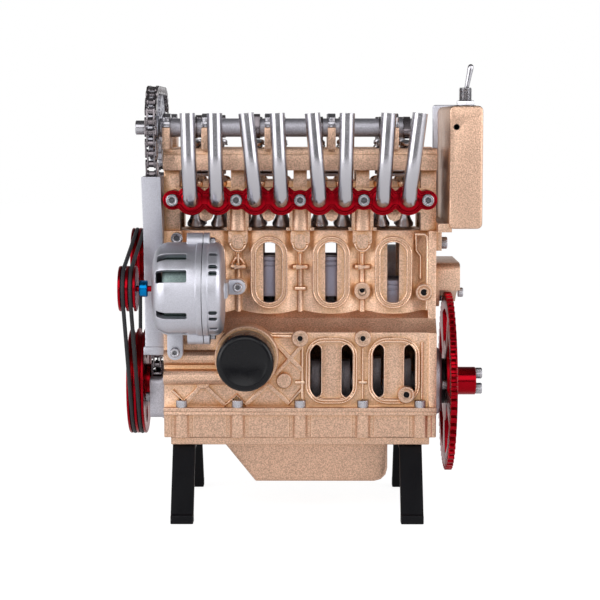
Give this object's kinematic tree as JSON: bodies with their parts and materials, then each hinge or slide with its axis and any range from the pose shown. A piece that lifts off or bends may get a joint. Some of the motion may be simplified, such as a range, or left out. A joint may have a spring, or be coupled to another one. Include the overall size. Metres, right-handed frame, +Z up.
{
  "type": "four stroke engine model",
  "caption": "Working metal model of an inline overhead-cam four stroke engine with viewing windows, belts, timing chain, flywheel, starter battery box and stand.",
  "frame": {"origin": "centre of the bounding box at the level of the stand's feet", "axes": "+X along the crank towards the flywheel, +Y from the exhaust side to the intake side, +Z up"},
  "size_m": [0.1628, 0.1146, 0.2029],
  "materials": {
    "champagne": "sand-cast and satin anodised, pale rose gold",
    "satin_silver": "satin",
    "cast_grey": "grey casting",
    "polished_steel": "polished",
    "dark_steel": "dark oiled steel",
    "red_anodised": "deep red anodised",
    "blue_anodised": "blue anodised",
    "black_satin": "black satin",
    "black_rubber": "matt",
    "piston_grey": "matt grey"
  },
  "bodies": {
    "engine": {"cylinder_block": "champagne", "oil_pan": "champagne", "cylinder_head": "champagne", "cam_carrier": "champagne", "exhaust_flange": "red_anodised", "exhaust_pipe_1": "polished_steel", "exhaust_pipe_2": "polished_steel", "exhaust_pipe_3": "polished_steel", "exhaust_pipe_4": "polished_steel", "exhaust_pipe_5": "polished_steel", "exhaust_pipe_6": "polished_steel", "exhaust_pipe_7": "polished_steel", "exhaust_pipe_8": "polished_steel", "timing_cover": "satin_silver", "front_bearing_housing": "cast_grey", "rear_bearing_housing": "cast_grey", "alternator_front_housing": "satin_silver", "alternator_rear_housing": "satin_silver", "oil_filter": "black_satin", "battery_box": "champagne", "battery_box_cover": "satin_silver", "switch_bushing": "polished_steel", "starter_bracket": "champagne", "starter_motor": "cast_grey", "stand_left": "black_satin", "stand_right": "black_satin", "timing_chain": "dark_steel", "drive_belt_outer": "black_rubber", "drive_belt_inner": "black_rubber"},
    "crank": {"crankshaft": "piston_grey", "crank_pulley": "red_anodised", "crank_sprocket": "dark_steel", "flywheel": "red_anodised"},
    "upper_dowel_body": {"upper_dowel": "dark_steel"},
    "lower_dowel_body": {"lower_dowel": "dark_steel"},
    "piston_1_body": {"piston_1": "piston_grey"},
    "piston_2_body": {"piston_2": "piston_grey"},
    "piston_3_body": {"piston_3": "piston_grey"},
    "piston_4_body": {"piston_4": "piston_grey"},
    "rod_1_body": {"connecting_rod_1": "cast_grey"},
    "rod_2_body": {"connecting_rod_2": "cast_grey"},
    "rod_3_body": {"connecting_rod_3": "cast_grey"},
    "rod_4_body": {"connecting_rod_4": "cast_grey"},
    "exhaust_cam": {"exhaust_camshaft": "cast_grey", "exhaust_cam_sprocket": "satin_silver"},
    "intake_cam": {"intake_camshaft": "cast_grey", "intake_cam_sprocket": "satin_silver"},
    "exhaust_valves_1_body": {"exhaust_valves_1": "dark_steel"},
    "exhaust_valves_2_body": {"exhaust_valves_2": "dark_steel"},
    "exhaust_valves_3_body": {"exhaust_valves_3": "dark_steel"},
    "exhaust_valves_4_body": {"exhaust_valves_4": "dark_steel"},
    "intake_valves_1_body": {"intake_valves_1": "dark_steel"},
    "intake_valves_2_body": {"intake_valves_2": "dark_steel"},
    "intake_valves_3_body": {"intake_valves_3": "dark_steel"},
    "intake_valves_4_body": {"intake_valves_4": "dark_steel"},
    "alternator_rotor": {"alternator_pulley": "red_anodised", "alternator_coupling": "blue_anodised"},
    "water_pump": {"water_pump_pulley": "red_anodised"},
    "pinion": {"starter_pinion": "polished_steel"},
    "lever": {"switch_lever": "polished_steel"}
  },
  "joints": [
    {"name": "crank_spin", "type": "hinge", "parent": "engine", "child": "crank", "pos_m": [-0.00282, 0.01135, 0.058], "axis": [1, 0, 0], "continuous": true},
    {"name": "upper_dowel_spin", "type": "hinge", "parent": "crank", "child": "upper_dowel_body", "pos_m": [-0.00282, 0.01135, 0.0607], "axis": [1, 0, 0], "continuous": true},
    {"name": "lower_dowel_spin", "type": "hinge", "parent": "crank", "child": "lower_dowel_body", "pos_m": [-0.00282, 0.01135, 0.0553], "axis": [1, 0, 0], "continuous": true},
    {"name": "piston_1_upright", "type": "hinge", "parent": "lower_dowel_body", "child": "piston_1_body", "pos_m": [-0.04482, 0.01135, 0.0526], "axis": [1, 0, 0], "continuous": true},
    {"name": "rod_1_swing", "type": "hinge", "parent": "crank", "child": "rod_1_body", "pos_m": [-0.04482, 0.01135, 0.0526], "axis": [1, 0, 0], "continuous": true},
    {"name": "piston_2_upright", "type": "hinge", "parent": "upper_dowel_body", "child": "piston_2_body", "pos_m": [-0.01682, 0.01135, 0.0634], "axis": [1, 0, 0], "continuous": true},
    {"name": "rod_2_swing", "type": "hinge", "parent": "crank", "child": "rod_2_body", "pos_m": [-0.01682, 0.01135, 0.0634], "axis": [1, 0, 0], "continuous": true},
    {"name": "piston_3_upright", "type": "hinge", "parent": "upper_dowel_body", "child": "piston_3_body", "pos_m": [0.01117, 0.01135, 0.0634], "axis": [1, 0, 0], "continuous": true},
    {"name": "rod_3_swing", "type": "hinge", "parent": "crank", "child": "rod_3_body", "pos_m": [0.01117, 0.01135, 0.0634], "axis": [1, 0, 0], "continuous": true},
    {"name": "piston_4_upright", "type": "hinge", "parent": "lower_dowel_body", "child": "piston_4_body", "pos_m": [0.03918, 0.01135, 0.0526], "axis": [1, 0, 0], "continuous": true},
    {"name": "rod_4_swing", "type": "hinge", "parent": "crank", "child": "rod_4_body", "pos_m": [0.03918, 0.01135, 0.0526], "axis": [1, 0, 0], "continuous": true},
    {"name": "exhaust_cam_spin", "type": "hinge", "parent": "engine", "child": "exhaust_cam", "pos_m": [-0.00282, -0.00865, 0.1748], "axis": [1, 0, 0], "continuous": true},
    {"name": "intake_cam_spin", "type": "hinge", "parent": "engine", "child": "intake_cam", "pos_m": [-0.00282, 0.03135, 0.1748], "axis": [1, 0, 0], "continuous": true},
    {"name": "alternator_spin", "type": "hinge", "parent": "engine", "child": "alternator_rotor", "pos_m": [-0.00282, -0.03665, 0.1052], "axis": [1, 0, 0], "continuous": true},
    {"name": "water_pump_spin", "type": "hinge", "parent": "engine", "child": "water_pump", "pos_m": [-0.00282, 0.02535, 0.114], "axis": [1, 0, 0], "continuous": true},
    {"name": "starter_pinion_spin", "type": "hinge", "parent": "engine", "child": "pinion", "pos_m": [0.05817, 0.03505, 0.0959], "axis": [1, 0, 0], "continuous": true},
    {"name": "exhaust_valves_1_lift", "type": "slide", "parent": "engine", "child": "exhaust_valves_1_body", "axis": [0, 0.3188, -0.9478], "range_m": [0, 0.0016], "stiffness_N_per_m": 100, "springref_m": -0.001},
    {"name": "exhaust_valves_2_lift", "type": "slide", "parent": "engine", "child": "exhaust_valves_2_body", "axis": [0, 0.3188, -0.9478], "range_m": [0, 0.0016], "stiffness_N_per_m": 100, "springref_m": -0.001},
    {"name": "exhaust_valves_3_lift", "type": "slide", "parent": "engine", "child": "exhaust_valves_3_body", "axis": [0, 0.3188, -0.9478], "range_m": [0, 0.0016], "stiffness_N_per_m": 100, "springref_m": -0.001},
    {"name": "exhaust_valves_4_lift", "type": "slide", "parent": "engine", "child": "exhaust_valves_4_body", "axis": [0, 0.3188, -0.9478], "range_m": [0, 0.0016], "stiffness_N_per_m": 100, "springref_m": -0.001},
    {"name": "intake_valves_1_lift", "type": "slide", "parent": "engine", "child": "intake_valves_1_body", "axis": [0, -0.3188, -0.9478], "range_m": [0, 0.0016], "stiffness_N_per_m": 100, "springref_m": -0.001},
    {"name": "intake_valves_2_lift", "type": "slide", "parent": "engine", "child": "intake_valves_2_body", "axis": [0, -0.3188, -0.9478], "range_m": [0, 0.0016], "stiffness_N_per_m": 100, "springref_m": -0.001},
    {"name": "intake_valves_3_lift", "type": "slide", "parent": "engine", "child": "intake_valves_3_body", "axis": [0, -0.3188, -0.9478], "range_m": [0, 0.0016], "stiffness_N_per_m": 100, "springref_m": -0.001},
    {"name": "intake_valves_4_lift", "type": "slide", "parent": "engine", "child": "intake_valves_4_body", "axis": [0, -0.3188, -0.9478], "range_m": [0, 0.0016], "stiffness_N_per_m": 100, "springref_m": -0.001},
    {"name": "switch_lever_tilt", "type": "hinge", "parent": "engine", "child": "lever", "pos_m": [0.07078, -0.00865, 0.1898], "axis": [0, 1, 0], "range_deg": [-21.6, 0]}
  ],
  "couplings": [
    {"joint": "upper_dowel_spin", "follows": "crank_spin", "ratio": -2},
    {"joint": "lower_dowel_spin", "follows": "crank_spin", "ratio": -2},
    {"joint": "piston_1_upright", "follows": "crank_spin", "ratio": 1},
    {"joint": "rod_1_swing", "follows": "crank_spin", "ratio": -1},
    {"joint": "piston_2_upright", "follows": "crank_spin", "ratio": 1},
    {"joint": "rod_2_swing", "follows": "crank_spin", "ratio": -1},
    {"joint": "piston_3_upright", "follows": "crank_spin", "ratio": 1},
    {"joint": "rod_3_swing", "follows": "crank_spin", "ratio": -1},
    {"joint": "piston_4_upright", "follows": "crank_spin", "ratio": 1},
    {"joint": "rod_4_swing", "follows": "crank_spin", "ratio": -1},
    {"joint": "exhaust_cam_spin", "follows": "crank_spin", "ratio": 0.5},
    {"joint": "intake_cam_spin", "follows": "crank_spin", "ratio": 0.5},
    {"joint": "alternator_spin", "follows": "crank_spin", "ratio": 2.5543},
    {"joint": "water_pump_spin", "follows": "crank_spin", "ratio": 1.7669}
  ]
}
